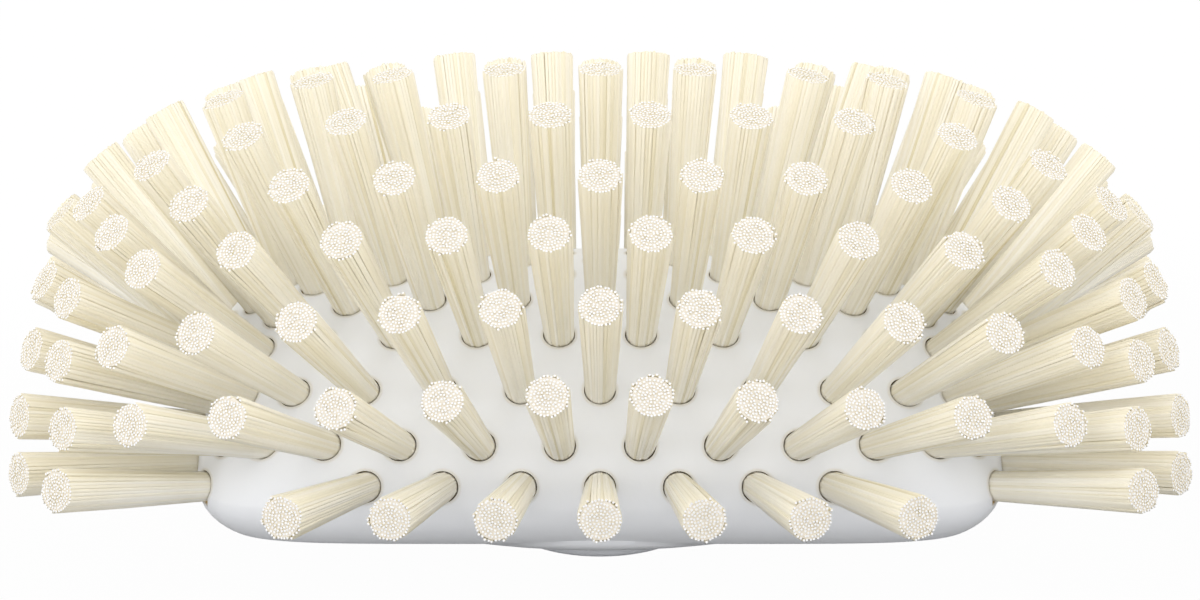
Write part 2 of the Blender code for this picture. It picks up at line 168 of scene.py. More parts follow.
def row_tufts(row, node, side):
    """The tufts of a row. Their stations are even in the middle and close up at the ends."""
    found = []
    slope = row.front if side > 0 else row.back
    column = row.offset
    while True:
        pace = column * row.pitch * COLUMN_PITCH / HALF_LENGTH
        station = pace / (1 + pace ** CLOSING_POWER) ** (1 / CLOSING_POWER)
        if station >= row.reach:
            return found
        reach = station * FAN_REACH
        lean = math.degrees(math.atan(slope.fan * reach / math.sqrt(1 - reach * reach)))
        lean += STRAY_LEANS.get((row.angle, column, side), 0)
        lift = slope.lift - slope.drop * station ** DROP_POWER
        for end, hand in ((-1, "left"), (1, "right")):
            if column or end < 0:
                place = "end_tufts" if station > row.parting else node
                found.append(tuft(f"{place}_{hand}", end * station, row.angle, lift, lean, side))
        column += 1


print(len(row_tufts(CROWN_ROW, "crown_rows", 1)), "tufts along the crown")

# %% [markdown]
# In the ring round an end each tuft looks its own way, so these are given one by one.

# %% The ends, and all tufts together


def end_tufts(side):
    """The ring of tufts round both ends, with the one on the crown counted to the front."""
    found = []
    for spot in END_TUFTS:
        power = outline_power(spot.angle)
        station = (1 - spot.share ** power) ** (1 / power)
        for end, hand in ((-1, "left"), (1, "right")):
            if side > 0 or spot.angle < 90:
                found.append(tuft(f"end_tufts_{hand}", end * station, spot.angle, spot.lift,
                                  spot.lean, side))
    return found


tufts = row_tufts(CROWN_ROW, "crown_rows", 1)
for side, place in ((1, "front"), (-1, "back")):
    for number, row in enumerate(SIDE_ROWS, start=1):
        tufts += row_tufts(row, f"{place}_row_{number}", side)
    tufts += row_tufts(UPPER_ROW, "crown_rows", side) + end_tufts(side)
tuft_nodes = np.array([found[0] for found in tufts])
tuft_roots = np.array([found[1] for found in tufts])
tuft_ways = np.array([found[2] for found in tufts])
print(len(tufts), "tufts in", len(set(tuft_nodes)), "nodes")

# %% [markdown]
# ## From arrays to a mesh
#
# Each surface below is a grid of points worked out by numpy. These helpers join a grid's
# points into quads and hand whole arrays to Blender, which is far quicker than adding
# vertices one by one.

# %% Mesh helpers


def grid_quads(rows, columns, wrap=False):
    """Corners of the quads of a grid of points, counted row by row."""
    spots = np.arange(rows * columns).reshape(rows, columns)
    if wrap:
        spots = np.column_stack((spots, spots[:, :1]))
    return np.stack((spots[:-1, :-1], spots[:-1, 1:], spots[1:, 1:], spots[1:, :-1]),
                    axis=-1).reshape(-1, 4)


def fill_mesh(name, points, *face_sets):
    """A mesh from an array of points and arrays of faces, each array with its corner count."""
    mesh = bpy.data.meshes.new(name)
    corners = np.concatenate([faces.ravel() for faces in face_sets])
    counts = np.concatenate([np.full(len(faces), faces.shape[1]) for faces in face_sets])
    mesh.vertices.add(len(points))
    mesh.vertices.foreach_set("co", points.ravel())
    mesh.loops.add(len(corners))
    mesh.loops.foreach_set("vertex_index", corners.astype(np.int32))
    mesh.polygons.add(len(counts))
    mesh.polygons.foreach_set("loop_start", (np.cumsum(counts) - counts).astype(np.int32))
    mesh.update(calc_edges=True)
    mesh.shade_smooth()
    return mesh


def add_values(mesh, name, values):
    """Give each point of a mesh a number that a material can read."""
    mesh.attributes.new(name, "FLOAT", "POINT").data.foreach_set("value", values.ravel())


def add_piece(name, mesh, slot, materials, *nodes):
    """Put a mesh into the scene as a piece that rides on the root body."""
    piece = bpy.data.objects.new(name, mesh)
    bpy.context.scene.collection.objects.link(piece)
    for material in materials:
        mesh.materials.append(material)
    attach(piece, "root")
    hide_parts(*nodes)
    return piece


print("a grid of 3 by 3 points has", len(grid_quads(3, 3)), "quads")

# %% [markdown]
# ## The skin of the block
#
# The block is one closed skin in three stretches. The dome is a grid of headings by angles,
# spaced evenly over the surface, because the holes will need small quads everywhere. Below the
# widest line the flank draws in along an ellipse to the flat base. There a boss flares out of
# the base in a soft curve, so wide that it cuts into the flank at the front and back, which
# leaves the shallow arc that shows under the middle of the block. Along every direction seen
# from above, the skin follows the flank and the base up to where the flare meets them, and
# then the flare down to the boss.

# %% The dome's grid of points
SKIN_STEP = 0.56 * MM
CURVE_SAMPLES = 20001
HEADINGS_ANGLE = 25


def even_spacing(curve, low, high):
    """Values from low to high at which a curve is cut into even steps of its own length."""
    fine = np.linspace(low, high, CURVE_SAMPLES)
    lengths = np.linalg.norm(np.diff(curve(fine), axis=0), axis=1)
    walked = np.concatenate(([0], np.cumsum(lengths)))
    steps = int(walked[-1] / SKIN_STEP / 2) * 2
    return np.interp(np.linspace(0, walked[-1], steps + 1), walked, fine)


headings = even_spacing(lambda heading: dome_line(heading, HEADINGS_ANGLE), 0, math.pi)
angles = even_spacing(lambda angle: dome(0, angle), 0, 180)
dome_grid = dome_line(headings[None, :], angles[:, None])
longest_steps = [float(np.linalg.norm(np.diff(dome_grid, axis=axis), axis=-1).max() / MM)
                 for axis in (0, 1)]
print(len(headings), "headings by", len(angles), "angles, longest steps in mm:",
      np.round(longest_steps, 2))

# %% [markdown]
# Below the widest line each stretch is a formula for its distance from the middle, in every
# direction seen from above. Such a formula can be compared with another one, and that finds
# the line where the flare meets the body without a Boolean: the two distances are equal there.

# %% The flank
FLANK_ROUND = 17 * MM
BASE_EDGE = 0.6 * MM


def flank_inset(depth):
    """How far the flank has drawn in at a depth: an ellipse, and a rounded edge at the end."""
    ellipse = HALF_WIDTH * (1 - np.sqrt(1 - (depth / FLANK_ROUND) ** 2))
    into_edge = np.maximum(0, depth - (FLANK_DEPTH - BASE_EDGE)) / BASE_EDGE
    return ellipse + BASE_EDGE * (1 - np.sqrt(np.maximum(0, 1 - into_edge ** 2)))


def outline_radius(heading, inset, power, half_length, half_width):
    """Distance from the middle to a superellipse, seen in a direction from above."""
    along = (np.abs(np.cos(heading)) / (half_length - inset)) ** power
    across = (np.abs(np.sin(heading)) / (half_width - inset)) ** power
    return (along + across) ** (-1 / power)


def body_radius(heading, depth):
    """Distance from the middle to the flank."""
    return outline_radius(heading, flank_inset(depth), SIDE_POWER, HALF_LENGTH, HALF_WIDTH)


print("the flank draws in by", round(float(flank_inset(FLANK_DEPTH) / MM), 1), "mm")

# %% [markdown]
# The flare is round at the boss and an oval at its upper edge. An S-curve between them starts
# and ends level, so that it leaves the boss and reaches the base without a crease.

# %% The flare, and where it meets the body
BOSS_RADIUS = 17.3 * MM
BOSS_EDGE = 1 * MM
FLARE_HALF_LENGTH = 55 * MM
FLARE_RISE = 1.6 * MM
FLARE_MARGIN = 0.1 * MM
LEVEL_SHARE = (BOSS_DROP - BOSS_EDGE) / (BOSS_DROP + FLARE_RISE - BOSS_EDGE)
HALVINGS = 40


def ease(share):
    """An S-curve from 0 to 1 that starts and ends level."""
    return share ** 3 * (10 - 15 * share + 6 * share ** 2)


def flare_radius(heading, share):
    """Distance from the middle to the flare: round at the boss, an oval at its upper edge."""
    half_width = HALF_WIDTH - float(flank_inset(FLANK_DEPTH - FLARE_RISE)) - FLARE_MARGIN
    half_sizes = [BOSS_RADIUS + (upper - BOSS_RADIUS) * ease(share)
                  for upper in (FLARE_HALF_LENGTH, half_width)]
    return outline_radius(heading, 0, 2, *half_sizes)


def flare_height(share):
    """Height of the flare above the boss's rim."""
    return BOSS_EDGE + (BOSS_DROP + FLARE_RISE - BOSS_EDGE) * share


def meeting_share(heading):
    """Where the flare meets the body in each direction, found by halving the range.

    It is the base's own level unless the flare still stands out past the flank there.
    """
    low = np.full(heading.shape, LEVEL_SHARE)
    high = np.ones(heading.shape)
    for _ in range(HALVINGS):
        middle = (low + high) / 2
        depth = WIDEST_Z - flare_height(middle)
        outside = flare_radius(heading, middle) > body_radius(heading, depth)
        low, high = np.where(outside, middle, low), np.where(outside, high, middle)
    return low


print("share of the flare's height in use, at the right end and at the back:",
      np.round(meeting_share(np.array((0, math.pi / 2))), 2))

# %% [markdown]
# The formulas are now read off in rings from the widest line down to the boss's rim. Every
# ring has a point under each point of the dome's edge, so the two grids fit without a seam.

# %% The rings of the underside
FLANK_STEPS = 9
FLANK_CROWDING = 0.8
BASE_STEPS = 3
FLARE_STEPS = 16
ROUND_STEPS = 4


def ring(heading, radius, height):
    """Points round the block in the given directions."""
    across, ahead = radius * np.cos(heading), radius * np.sin(heading)
    return np.stack(np.broadcast_arrays(across, ahead, height), axis=-1)


def underside(heading):
    """Rings of points from the widest line down the flank, the base, the flare and the boss."""
    share = meeting_share(heading)
    last_depth = WIDEST_Z - flare_height(share)
    rings = []
    for k in range(FLANK_STEPS + 1):
        depth = last_depth * math.sin(math.pi / 2 * k / FLANK_STEPS) ** FLANK_CROWDING
        rings.append(ring(heading, body_radius(heading, depth), WIDEST_Z - depth))
    start, end = body_radius(heading, last_depth), flare_radius(heading, share)
    for k in range(1, BASE_STEPS + 1):
        radius = start + (end - start) * k / BASE_STEPS
        rings.append(ring(heading, radius, WIDEST_Z - last_depth))
    for k in range(1, FLARE_STEPS + 1):
        left = share * (1 - k / FLARE_STEPS)
        rings.append(ring(heading, flare_radius(heading, left), flare_height(left)))
    for k in range(1, ROUND_STEPS + 1):
        turn = math.pi / 2 * k / ROUND_STEPS
        rings.append(ring(heading, BOSS_RADIUS - BOSS_EDGE * (1 - math.cos(turn)),
                          BOSS_EDGE * (1 - math.sin(turn))))
    return np.array(rings)


rim_line = np.concatenate((dome_grid[0], dome_grid[-1, -2:0:-1]))
rim_headings = np.arctan2(rim_line[:, 1], rim_line[:, 0])
lower_rings = underside(rim_headings)
print("underside:", lower_rings.shape[0], "rings of", lower_rings.shape[1], "points")

# %% [markdown]
# ## The threaded socket
#
# The handle screws into a blind socket in the boss. Its thread is a groove that climbs as it
# turns. A Screw modifier could sweep a profile along that climb, but the result would still
# have to be joined to the socket. One formula is enough here: the wall steps back wherever the
# height, less the share of the turn, falls in the groove's part of the pitch.

# %% The socket
SOCKET_RADIUS = 10 * MM
SOCKET_DEPTH = 26 * MM
SOCKET_CHAMFER = 1 * MM
SOCKET_ROUND = 1.5 * MM
THREAD_PITCH = 4.5 * MM
THREAD_DEPTH = 0.9 * MM
GROOVE_HALF_SHARE = 0.36
GROOVE_SIDE_SHARE = 0.16
THREAD_START = 2 * MM
THREAD_END = SOCKET_DEPTH - 3 * MM
THREAD_FADE = 2 * MM
SOCKET_TURN = 120
SOCKET_STEPS = 52


def thread_groove(height, turn):
    """How deep the groove is: a flat bottom and sloping sides once in each pitch.

    It fades out near the mouth and near the bottom, as a moulded thread does.
    """
    phase = (height / THREAD_PITCH - turn / (2 * math.pi)) % 1
    profile = np.clip((GROOVE_HALF_SHARE - np.abs(phase - 0.5)) / GROOVE_SIDE_SHARE, 0, 1)
    from_mouth = np.clip((height - THREAD_START) / THREAD_FADE, 0, 1)
    from_bottom = np.clip((THREAD_END - height) / THREAD_FADE, 0, 1)
    return THREAD_DEPTH * profile * from_mouth * from_bottom


def socket_wall():
    """Rings up the socket: the chamfered mouth, the threaded wall and the rounded bottom."""
    turn = np.linspace(0, 2 * math.pi, SOCKET_TURN, endpoint=False)
    rings = [ring(turn, SOCKET_RADIUS + SOCKET_CHAMFER, 0.0),
             ring(turn, SOCKET_RADIUS, SOCKET_CHAMFER)]
    for height in np.linspace(SOCKET_ROUND, SOCKET_DEPTH - SOCKET_ROUND, SOCKET_STEPS):
        rings.append(ring(turn, SOCKET_RADIUS + thread_groove(height, turn), height))
    for k in range(1, ROUND_STEPS + 1):
        tilt = math.pi / 2 * k / ROUND_STEPS
        rings.append(ring(turn, SOCKET_RADIUS - SOCKET_ROUND * (1 - math.cos(tilt)),
                          SOCKET_DEPTH - SOCKET_ROUND * (1 - math.sin(tilt))))
    return np.array(rings)


socket_rings = socket_wall()
print("socket:", socket_rings.shape[0], "rings of", socket_rings.shape[1], "points")

# %% [markdown]
# The stretches are joined into one mesh. The boss's rim has hundreds of points and the socket
# only 120, so the flat rim between them is a ring of faces with one side on the socket and
# several on the boss. Points that coincide, at the two ends of the dome and along the widest
# line, are merged, and the faces are turned to look outwards.

# %% One closed skin
MERGE_DISTANCE = 0.001 * MM


def rim_faces(outer_start, outer_count, inner_start, inner_count):
    """Triangles between two rings that have different counts of points.

    Each outer side reaches to the nearest inner point, and each inner side to the outer point
    where that nearest point changes.
    """
    outer = np.arange(outer_count)
    nearest = np.rint(outer * inner_count / outer_count).astype(int) % inner_count
    after = (outer + 1) % outer_count
    fans = np.column_stack((outer_start + outer, outer_start + after, inner_start + nearest))
    change = outer[nearest != nearest[after]]
    bridges = np.column_stack((outer_start + (change + 1) % outer_count,
                               inner_start + nearest[(change + 1) % outer_count],
                               inner_start + nearest[change]))
    return np.concatenate((fans, bridges))


def block_mesh():
    """The whole skin of the block, closed and facing outwards, before the holes."""
    top = dome_grid.reshape(-1, 3)
    below, wall = lower_rings.reshape(-1, 3), socket_rings.reshape(-1, 3)
    below_start, wall_start = len(top), len(top) + len(below)
    ring_count = lower_rings.shape[1]
    quads = np.concatenate((
        grid_quads(len(angles), len(headings)),
        grid_quads(len(lower_rings), ring_count, wrap=True) + below_start,
        grid_quads(len(socket_rings), SOCKET_TURN, wrap=True) + wall_start))
    order = np.argsort(rim_headings % (2 * math.pi))
    last_ring = below_start + len(below) - ring_count
    rim = rim_faces(0, ring_count, ring_count, SOCKET_TURN)
    lookup = np.concatenate((last_ring + order, wall_start + np.arange(SOCKET_TURN)))
    bottom = (wall_start + len(wall) - SOCKET_TURN + np.arange(SOCKET_TURN))[None, :]
    mesh = fill_mesh("plain_skin", np.concatenate((top, below, wall)), quads, lookup[rim], bottom)
    work = bmesh.new()
    work.from_mesh(mesh)
    bmesh.ops.remove_doubles(work, verts=work.verts, dist=MERGE_DISTANCE)
    bmesh.ops.recalc_face_normals(work, faces=work.faces)
    open_edges = sum(not edge.is_manifold for edge in work.edges)
    print("open edges:", open_edges, "faces:", len(work.faces))
    work.to_mesh(mesh)
    work.free()
    return mesh


skin = block_mesh()

# %% [markdown]
# ## The drilled holes
#
# A drill leaves a crisp round edge. Cutting 165 holes with Booleans would be slow and would
# leave a tangle of slivers. Here the skin's own quads are small enough to be pulled into
# shape. What happens to a point depends on how far it is from the axis of the nearest drill.

# %% The nearest drill to each point
HOLE_RADIUS = 2.71 * MM
DRILL_REACH = 6 * MM


def nearest_holes(points):
    """For each point the distance from the nearest drill's axis, and which drill that is."""
    distance = np.full(len(points), 1.0)
    nearest = np.zeros(len(points), int)
    for index, (root, way) in enumerate(zip(tuft_roots, tuft_ways)):
        offset = points - root
        along = offset @ way
        apart = np.linalg.norm(offset - along[:, None] * way, axis=1)
        closer = (apart < distance) & (np.abs(along) < DRILL_REACH)
        distance[closer], nearest[closer] = apart[closer], index
    return distance, nearest


print(len(tuft_roots), "holes of", round(2 * HOLE_RADIUS / MM, 2), "mm")

# %% [markdown]
# A quad with some corners on the skin and some down in a hole would slope from one to the
# other and blunt the edge. It is cut in two along the edge instead, so each half lies wholly
# on its own side.

# %% Quads that reach over an edge


def face_sets(mesh):
    """Corners of a mesh's faces, as one array for each number of corners."""
    starts, totals = np.empty((2, len(mesh.polygons)), np.int32)
    corners = np.empty(len(mesh.loops), np.int32)
    mesh.polygons.foreach_get("loop_start", starts)
    mesh.polygons.foreach_get("loop_total", totals)
    mesh.loops.foreach_get("vertex_index", corners)
    return {int(total): corners[starts[totals == total][:, None] + np.arange(total)]
            for total in np.unique(totals)}


def split_quads(quads, gap, inside):
    """Cut each quad that has corners both inside and outside a hole into two triangles.

    The cut joins the two opposite corners that lie nearer to the edge.
    """
    mixed = inside[quads].any(axis=1) & (~inside & (gap > 0))[quads].any(axis=1)
    corners, away = quads[mixed], gap[quads[mixed]]
    turned = away[:, 0] + away[:, 2] > away[:, 1] + away[:, 3]
    corners = np.where(turned[:, None], np.roll(corners, -1, axis=1), corners)
    return quads[~mixed], np.concatenate((corners[:, [0, 1, 2]], corners[:, [0, 2, 3]]))


print("faces by corners:", {count: len(faces) for count, faces in face_sets(skin).items()})

# %% [markdown]
# Now the points move. Those near a hole's edge slide along the skin onto the edge, the next
# ones inside go to the foot of a steep wall, and the rest drop to the hole's floor. Each point
# also keeps how far it stands from the nearest edge, in millimetres up to 4, and whether it
# has sunk. The material reads both numbers.

# %% Sink the holes
HOLE_DEPTH = 2.5 * MM
EDGE_BAND = 0.34 * MM
WALL_BAND = 3 * EDGE_BAND
WALL_LEAN = 0.06 * MM
LEAST_FACING = 0.3
GAP_LIMIT = 4
SHARP_ANGLE = math.radians(35)


def sink_holes(mesh):
    """The same skin with its points moved onto the edges, walls and floors of the holes.

    A point that moves square to its drill's axis also slides along the axis, by as much as
    keeps it in the plane that touches the skin there.
    """
    points, normals = np.empty((2, len(mesh.vertices) * 3), np.float32)
    mesh.vertices.foreach_get("co", points)
    mesh.vertices.foreach_get("normal", normals)
    points, normals = points.reshape(-1, 3).astype(float), normals.reshape(-1, 3)
    distance, nearest = nearest_holes(points)
    way = tuft_ways[nearest]
    offset = points - tuft_roots[nearest]
    outward = offset - np.sum(offset * way, axis=1)[:, None] * way
    outward /= np.maximum(np.linalg.norm(outward, axis=1), 1e-9)[:, None]
    on_edge = np.abs(distance - HOLE_RADIUS) < EDGE_BAND
    inside = distance <= HOLE_RADIUS - EDGE_BAND
    on_wall = inside & (distance > HOLE_RADIUS - WALL_BAND)
    goal = np.where(on_edge, HOLE_RADIUS, np.where(on_wall, HOLE_RADIUS - WALL_LEAN, distance))
    facing = np.maximum(np.sum(way * normals, axis=1), LEAST_FACING)
    slide = -np.sum(outward * normals, axis=1) / facing
    points += (goal - distance)[:, None] * (outward + slide[:, None] * way)
    points -= np.where(inside, HOLE_DEPTH, 0)[:, None] * way
    faces = face_sets(mesh)
    gap = np.abs(goal - HOLE_RADIUS)
    faces[4], cut = split_quads(faces[4], gap, inside)
    drilled = fill_mesh("moulded_block", points, cut, *faces.values())
    bpy.data.meshes.remove(mesh)
    add_values(drilled, "sunk", inside.astype(float))
    add_values(drilled, "from_edge", np.clip(gap / MM, 0, GAP_LIMIT))
    drilled.set_sharp_from_angle(angle=SHARP_ANGLE)
    print(int(on_edge.sum()), "points on edges,", int(inside.sum()), "inside holes,",
          len(drilled.loops) - 2 * len(drilled.polygons), "triangles")
    return drilled


skin = sink_holes(skin)

# %% [markdown]
# ## The tufts
#
# A tuft is a bundle of straight nylon bristles half a millimetre thick, folded over a staple
# at the bottom of its hole and trimmed square at the free end. Blender's hair could grow them,
# but the finished part needs plain meshes, so each bristle is a thin tube of few faces, and
# numpy works out all the tubes of a row of tufts at once. In cross-section they stand in rings,
# each with six more than the one inside it, as coins lie round a coin in the middle. Here and
# there they part along a shallow groove, most of all where the two legs of the folded bundle
# meet. Random numbers with a fixed seed turn and jitter each bundle, so no two tufts are alike
# and every run still gives the same brush.

# %% Where the bristles of a tuft stand
RINGS = 6
RING_TWIST = 0.13
JITTER = 0.016
PARTING_PLACES = (0.16, -0.42, 0.62)
PARTING_STRENGTHS = (1.0, 0.55, 0.45)
PARTING_WIDTH = 0.05
PARTING_SCATTER = 0.09
PARTING_PUSH = 0.03


def bundle():
    """Spots in a circle of radius 1, in rings round a middle that stays free."""
    numbers = np.arange(1, RINGS + 1)
    reach = np.repeat(numbers, 6 * numbers) / RINGS
    turn = 2 * math.pi * np.concatenate([np.arange(6 * k) / (6 * k) + RING_TWIST * k
                                         for k in numbers])
    return np.column_stack((reach * np.cos(turn), reach * np.sin(turn)))


def spread_spots(count, draw):
    """Each tuft's own bundle: turned at random, jittered, and parted along a groove."""
    spin = 2 * math.pi * draw.random((count, 1))
    spots = bundle()
    turned = np.stack((np.cos(spin) * spots[:, 0] - np.sin(spin) * spots[:, 1],
                       np.sin(spin) * spots[:, 0] + np.cos(spin) * spots[:, 1]), axis=-1)
    turned += draw.normal(0, JITTER, turned.shape)
    parting = np.zeros(turned.shape[:2])
    for place, strength in zip(PARTING_PLACES, PARTING_STRENGTHS):
        places = draw.normal(place, PARTING_SCATTER, (count, 1))
        near = np.exp(-((turned[..., 0] - places) / PARTING_WIDTH) ** 2)
        parting += near * strength * draw.uniform(0.5, 1, (count, 1))
    turned[..., 1] *= 1 - PARTING_PUSH * parting
    return turned, parting


print(len(bundle()), "bristles in each tuft")

# %% [markdown]
# A tuft leans in any direction, so its bristles are first laid out flat, across the tuft and
# along it, and then placed in space along three directions of its own.

# %% From a tuft's own directions into space


def tuft_axes(ways):
    """Two directions square to each tuft: one level and to the right, the other across it."""
    level = np.cross((0, 0, 1), ways)
    size = np.linalg.norm(level, axis=1, keepdims=True)
    level = np.where(size > 0.01, level / np.maximum(size, 1e-9), (1, 0, 0))
    level *= np.where(level[:, :1] < 0, -1, 1)
    return level, np.cross(ways, level)


def place_in_space(roots, ways, flat, heights):
    """Points from their two places across the tufts and their height along them."""
    roots, ways, level, upward = (each[:, None, None, None]
                                  for each in (roots, ways, *tuft_axes(ways)))
    along = np.asarray(heights)[..., None] * ways
    return roots + along + flat[..., :1] * level + flat[..., 1:] * upward


print("directions across the first tuft:", *np.round(tuft_axes(tuft_ways[:1]), 2))

# %% [markdown]
# Packed tight in the hole, the bristles spread a little on the way out, and the outermost ones
# stray. Each is a five-sided tube with four rings of points: the foot in the hole, the middle,
# a small shoulder and the cut.
#
# Real bristles let light through, so a tuft looks like one soft body with fine lines along
# it. Tubes as thin as these would each shade from bright to dark instead. To make up for that,
# each point's normal is turned part of the way from its own tube's towards the whole tuft's.

# %% The bristles
TUFT_LENGTH = 35 * MM
ROOT_SPREAD = 2.26 * MM
TIP_SPREAD = 3.28 * MM
BRISTLE_RADII = np.array((0.28, 0.34, 0.34, 0.22)) * MM
SIDES = 5
SHOULDER = 0.4 * MM
FOOT = -0.8 * HOLE_DEPTH
MIDDLE_SHARE = 0.55
BOW = 0.035 * MM
FARTHEST_STRAY = 0.36 * MM
STRAY_POWER = 8
LENGTH_MEAN = -0.03 * MM
LENGTH_SCATTER = 0.05 * MM
RIM_SHORTENING = 0.12 * MM
TUFT_SHADING = 0.6
OUTSIDE_BIAS = 0.3


def bristle_points(roots, ways, draw):
    """Points and normals of all bristles of some tufts, as tufts by bristles by rings by sides.

    A bristle runs straight from its spot in the hole to its spot at the trimmed end, but for a
    small bow, and lengths vary slightly.
    """
    spots, parting = spread_spots(len(roots), draw)
    shape = parting.shape
    reach = np.linalg.norm(spots, axis=-1)
    straying = FARTHEST_STRAY * draw.random(shape) ** 2 * reach ** STRAY_POWER
    at_tip = spots * (TIP_SPREAD + straying / np.maximum(reach, 0.1))[..., None]
    bow = draw.normal(0, BOW, shape + (2,))
    length = TUFT_LENGTH + draw.normal(LENGTH_MEAN, LENGTH_SCATTER, shape)
    length -= RIM_SHORTENING * reach ** 3 * draw.random(shape)
    heights = np.stack((np.full(shape, FOOT), MIDDLE_SHARE * length, length - SHOULDER, length),
                       axis=-1)
    share = heights / TUFT_LENGTH
    at_root = spots * ROOT_SPREAD
    plane = at_root[:, :, None] + (at_tip - at_root)[:, :, None] * share[..., None]
    plane[:, :, 1] += bow
    turn = 2 * math.pi * np.arange(SIDES) / SIDES
    circle = np.column_stack((np.cos(turn), np.sin(turn)))
    flat = plane[:, :, :, None] + circle * BRISTLE_RADII[:, None, None]
    outward = (spots * reach[..., None])[:, :, None, None]
    outside = np.maximum(np.sum(outward * circle, axis=-1, keepdims=True) + OUTSIDE_BIAS, 0)
    facing = circle + TUFT_SHADING / (1 - TUFT_SHADING) * outside * outward

    points = place_in_space(roots, ways, flat, heights[..., None])
    normals = np.broadcast_to(place_in_space(0 * roots, ways, facing, 0), points.shape)
    return points, normals, {"along": share, "depth": 1 - reach, "parting": parting,
                             "tone": draw.uniform(0.1, 1, shape)}


widths = [round(2 * spread / MM, 1) for spread in (ROOT_SPREAD, TIP_SPREAD)]
print("the axes of a tuft's bristles spread over", widths, "mm at its root and tip")

# %% [markdown]
# Where real bristles would glow, tubes leave black gaps between them. A pale core inside each
# bundle closes the gaps. It ends a little below the cuts and narrows there, so that the
# outermost tips stand free of it.

# %% The pale cores
CORE_SHARES = np.array((1.05, 1.05, 1.0))
CORE_BEVEL = 0.5 * MM
CORE_DROP = 0.22 * MM
CORE_SIDES = 24


def core_points(roots, ways):
    """Points of the pale cores, as tufts by one core by three rings by sides."""
    turn = 2 * math.pi * np.arange(CORE_SIDES) / CORE_SIDES
    circle = np.column_stack((np.cos(turn), np.sin(turn)))
    heights = np.array((FOOT, TUFT_LENGTH - CORE_BEVEL, TUFT_LENGTH - CORE_DROP))
    radii = CORE_SHARES * (ROOT_SPREAD + (TIP_SPREAD - ROOT_SPREAD) * heights / TUFT_LENGTH)
    flat = np.broadcast_to(circle * radii[:, None, None], (len(roots), 1, 3, CORE_SIDES, 2))
    points = place_in_space(roots, ways, flat, heights[:, None])
    normals = np.broadcast_to(place_in_space(0 * roots, ways, flat, 0), points.shape)
    one = np.ones((len(roots), 1))
    values = {"along": np.broadcast_to(np.array((0, 1, 1)), (len(roots), 1, 3)), "depth": 0 * one,
              "parting": 0 * one, "tone": 0 * one}
    return points, normals, values


print("points of one core:", core_points(tuft_roots[:1], tuft_ways[:1])[0].size // 3)

# %% [markdown]
# All the bristles and cores of a row become one mesh. Some 20,000 separate objects would slow
# Blender down, and each row replaces one CAD node. Every point carries four numbers for the
# materials: how far along the bristle it is, how deep in the bundle, how near to a parting,
# and its bristle's own tone. The cut ends get the second material.

# %% One mesh for each row
FIRST_SEED = 100


def tube_faces(bundles, first):
    """The sides, the bottoms and the ends of closed tubes whose points are counted from first."""
    tubes, rings, sides = bundles.shape[0] * bundles.shape[1], *bundles.shape[2:4]
    starts = first + (np.arange(tubes) * rings * sides)[:, None, None]
    quads = (grid_quads(rings, sides, wrap=True)[None] + starts).reshape(-1, 4)
    bottoms = (np.arange(sides)[::-1] + starts[:, 0]).reshape(-1, sides)
    ends = (np.arange(sides) + (rings - 1) * sides + starts[:, 0]).reshape(-1, sides)
    return quads, bottoms, ends


def per_point(values, shape):
    """Numbers given per bristle or per ring of points, repeated for every point."""
    missing = (1,) * (len(shape) - values.ndim)
    return np.broadcast_to(values.reshape(values.shape + missing), shape).ravel()


def bristle_mesh(name, roots, ways, draw):
    """One mesh of the bristles and cores of some tufts, with the numbers that colour them."""
    bristles, cores = bristle_points(roots, ways, draw), core_points(roots, ways)
    points = np.concatenate([part[0].reshape(-1, 3) for part in (bristles, cores)])
    normals = np.concatenate([part[1].reshape(-1, 3) for part in (bristles, cores)])
    faces = [*tube_faces(cores[0], bristles[0].size // 3), *tube_faces(bristles[0], 0)]
    mesh = fill_mesh(name, points, *faces)
    material_index = np.zeros(len(mesh.polygons), np.int32)
    material_index[-len(faces[-1]):] = 1
    material_index[sum(map(len, faces[:2])):sum(map(len, faces[:3]))] = 1
    mesh.polygons.foreach_set("material_index", material_index)
    corner_normals = []
    for quads, bottoms, ends in (faces[:3], faces[3:]):
        along = np.repeat(ways, ends.size // len(ways), axis=0)
        corner_normals += [normals[quads.ravel()], -along, along]
    corner_normals = np.concatenate(corner_normals)
    corner_normals /= np.linalg.norm(corner_normals, axis=1, keepdims=True)
    mesh.normals_split_custom_set(corner_normals)
    for key in bristles[2]:
        values = [per_point(part[2][key], part[0].shape[:-1]) for part in (bristles, cores)]
        add_values(mesh, key, np.clip(np.concatenate(values), 0, 1))
    return mesh


bristle_meshes = {}
for number, node in enumerate(sorted(set(tuft_nodes))):
    chosen = tuft_nodes == node
    draw = np.random.default_rng(FIRST_SEED + number)
    bristle_meshes[node] = bristle_mesh("bristles_" + node, tuft_roots[chosen],
                                        tuft_ways[chosen], draw)
print("faces of bristle:", sum(len(mesh.polygons) for mesh in bristle_meshes.values()))

# %% [markdown]
# ## Writing materials as sums
#
# A material is a graph of nodes. Wiring each Math node by hand hides what it works out, so
# this small class lets Python's own operators add the nodes: `1 - mask * 0.3` builds a Multiply
# and a Subtract.

# %% Values that add up


class Value:
    """An output of a node that takes part in Python sums."""

    def __init__(self, graph, socket):
        self.graph = graph
        self.socket = socket

    def sum(self, operation, *terms):
        """The output of one Math node that is fed these terms."""
        return self.graph.node("ShaderNodeMath", {"operation": operation}, dict(enumerate(terms)))

    def __add__(self, other):
        return self.sum("ADD", self, other)

    def __radd__(self, other):
        return self.sum("ADD", other, self)

    def __rsub__(self, other):
        return self.sum("SUBTRACT", other, self)

    def __mul__(self, other):
        return self.sum("MULTIPLY", self, other)

    def __rmul__(self, other):
        return self.sum("MULTIPLY", other, self)


# %% [markdown]
# Every node comes from one method, which sets a node's options before it feeds its sockets,
# because an option can change which of the sockets are in use.

